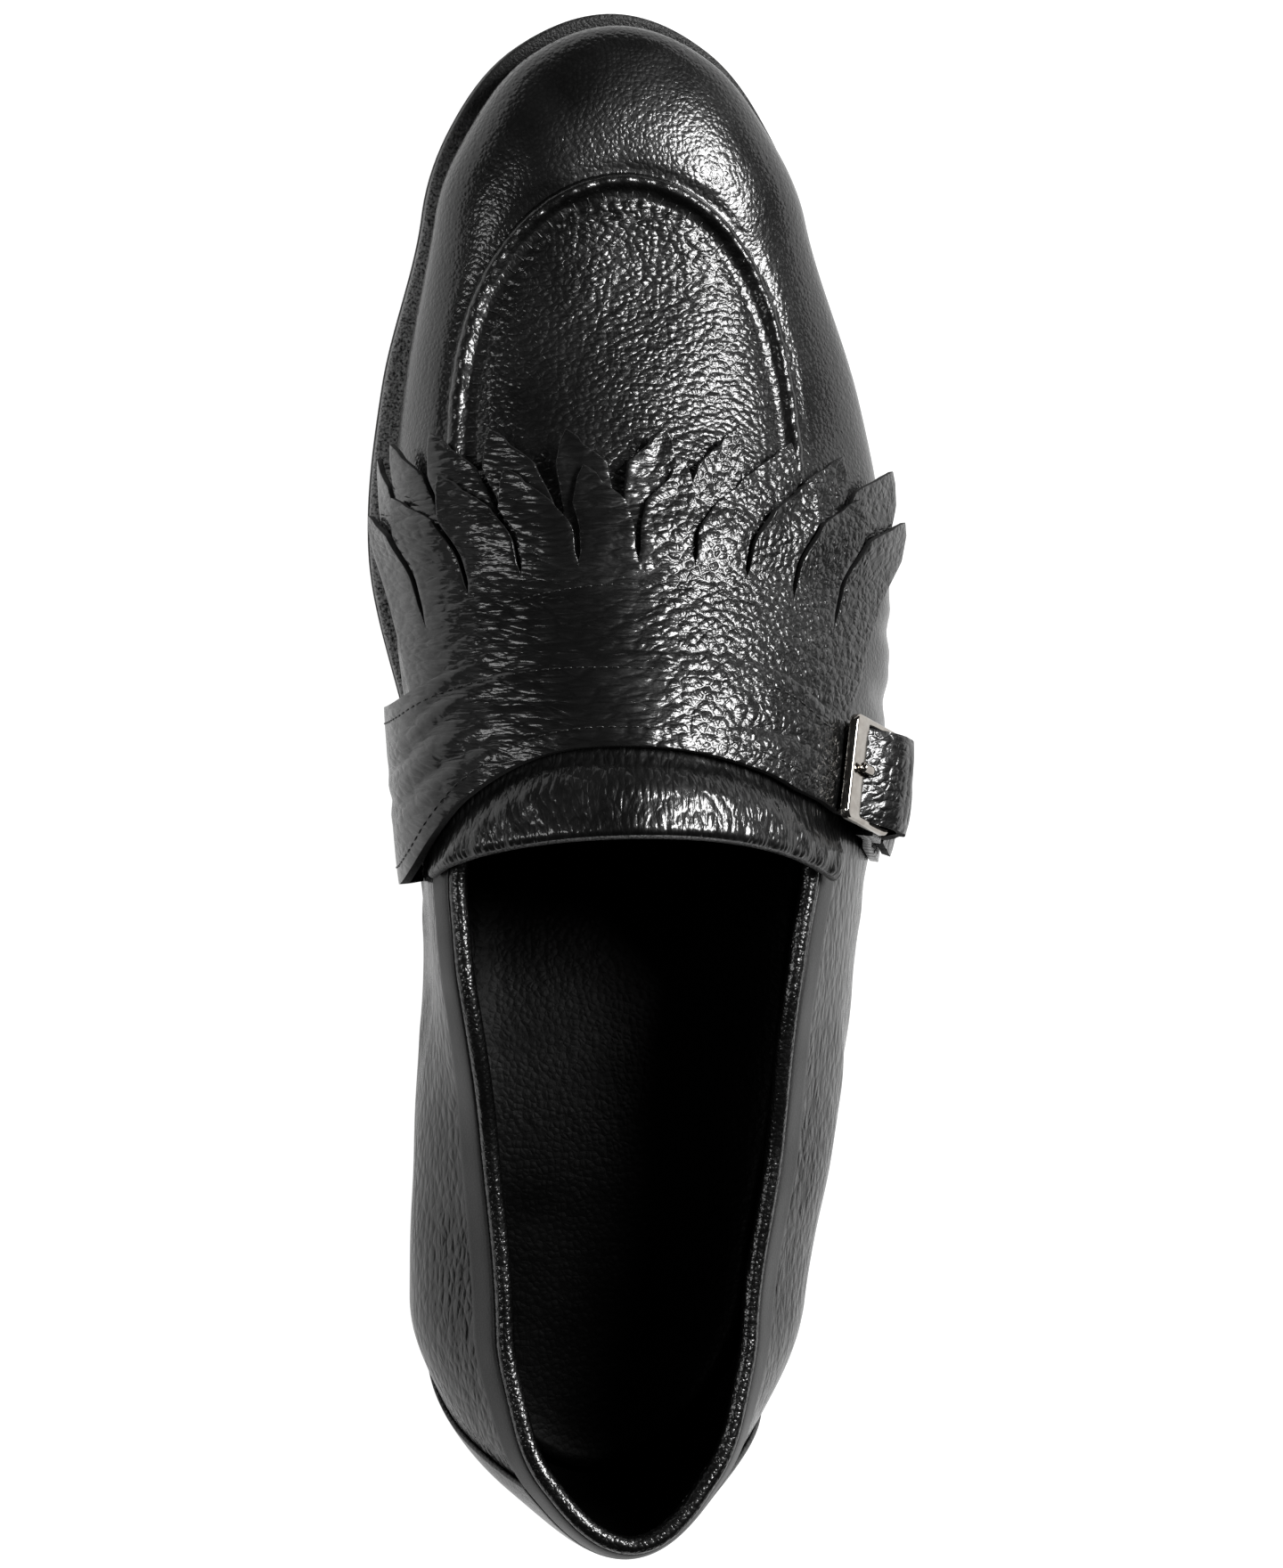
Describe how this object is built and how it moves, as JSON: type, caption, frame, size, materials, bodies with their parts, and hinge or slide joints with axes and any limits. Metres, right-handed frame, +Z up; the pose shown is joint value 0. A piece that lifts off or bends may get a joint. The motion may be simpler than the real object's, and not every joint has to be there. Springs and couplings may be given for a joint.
{
  "type": "monk strap loafer",
  "caption": "Right monk strap loafer: hollow black leather upper, fringed kiltie, buckled instep strap, raised apron seam, welted leather sole and stacked heel.",
  "frame": {"origin": "middle of the heel's flat face on the ground", "axes": "+X towards the outer side of the right shoe, +Y towards the toe, +Z up from the ground"},
  "size_m": [0.1051, 0.2967, 0.0916],
  "materials": {
    "grain_leather": "black pebbled calf, polished",
    "smooth_leather": "black smooth leather binding, satin",
    "lining_leather": "black lining leather, matt",
    "sole_leather": "black edge-inked sole leather, waxed",
    "heel_rubber": "black rubber, matt",
    "buckle_metal": "polished nickel plate"
  },
  "bodies": {
    "root": {"outsole": "sole_leather", "heel_stack": "sole_leather", "heel_top_piece": "heel_rubber", "welt": "sole_leather", "insole": "lining_leather", "upper": "grain_leather", "heel_counter": "grain_leather", "apron_seam": "grain_leather", "collar_bead": "smooth_leather", "tongue": "grain_leather", "kiltie_lower": "grain_leather", "kiltie_upper": "grain_leather", "strap": "grain_leather", "buckle_tab": "grain_leather", "buckle_frame": "buckle_metal", "buckle_prong": "buckle_metal"}
  },
  "joints": []
}
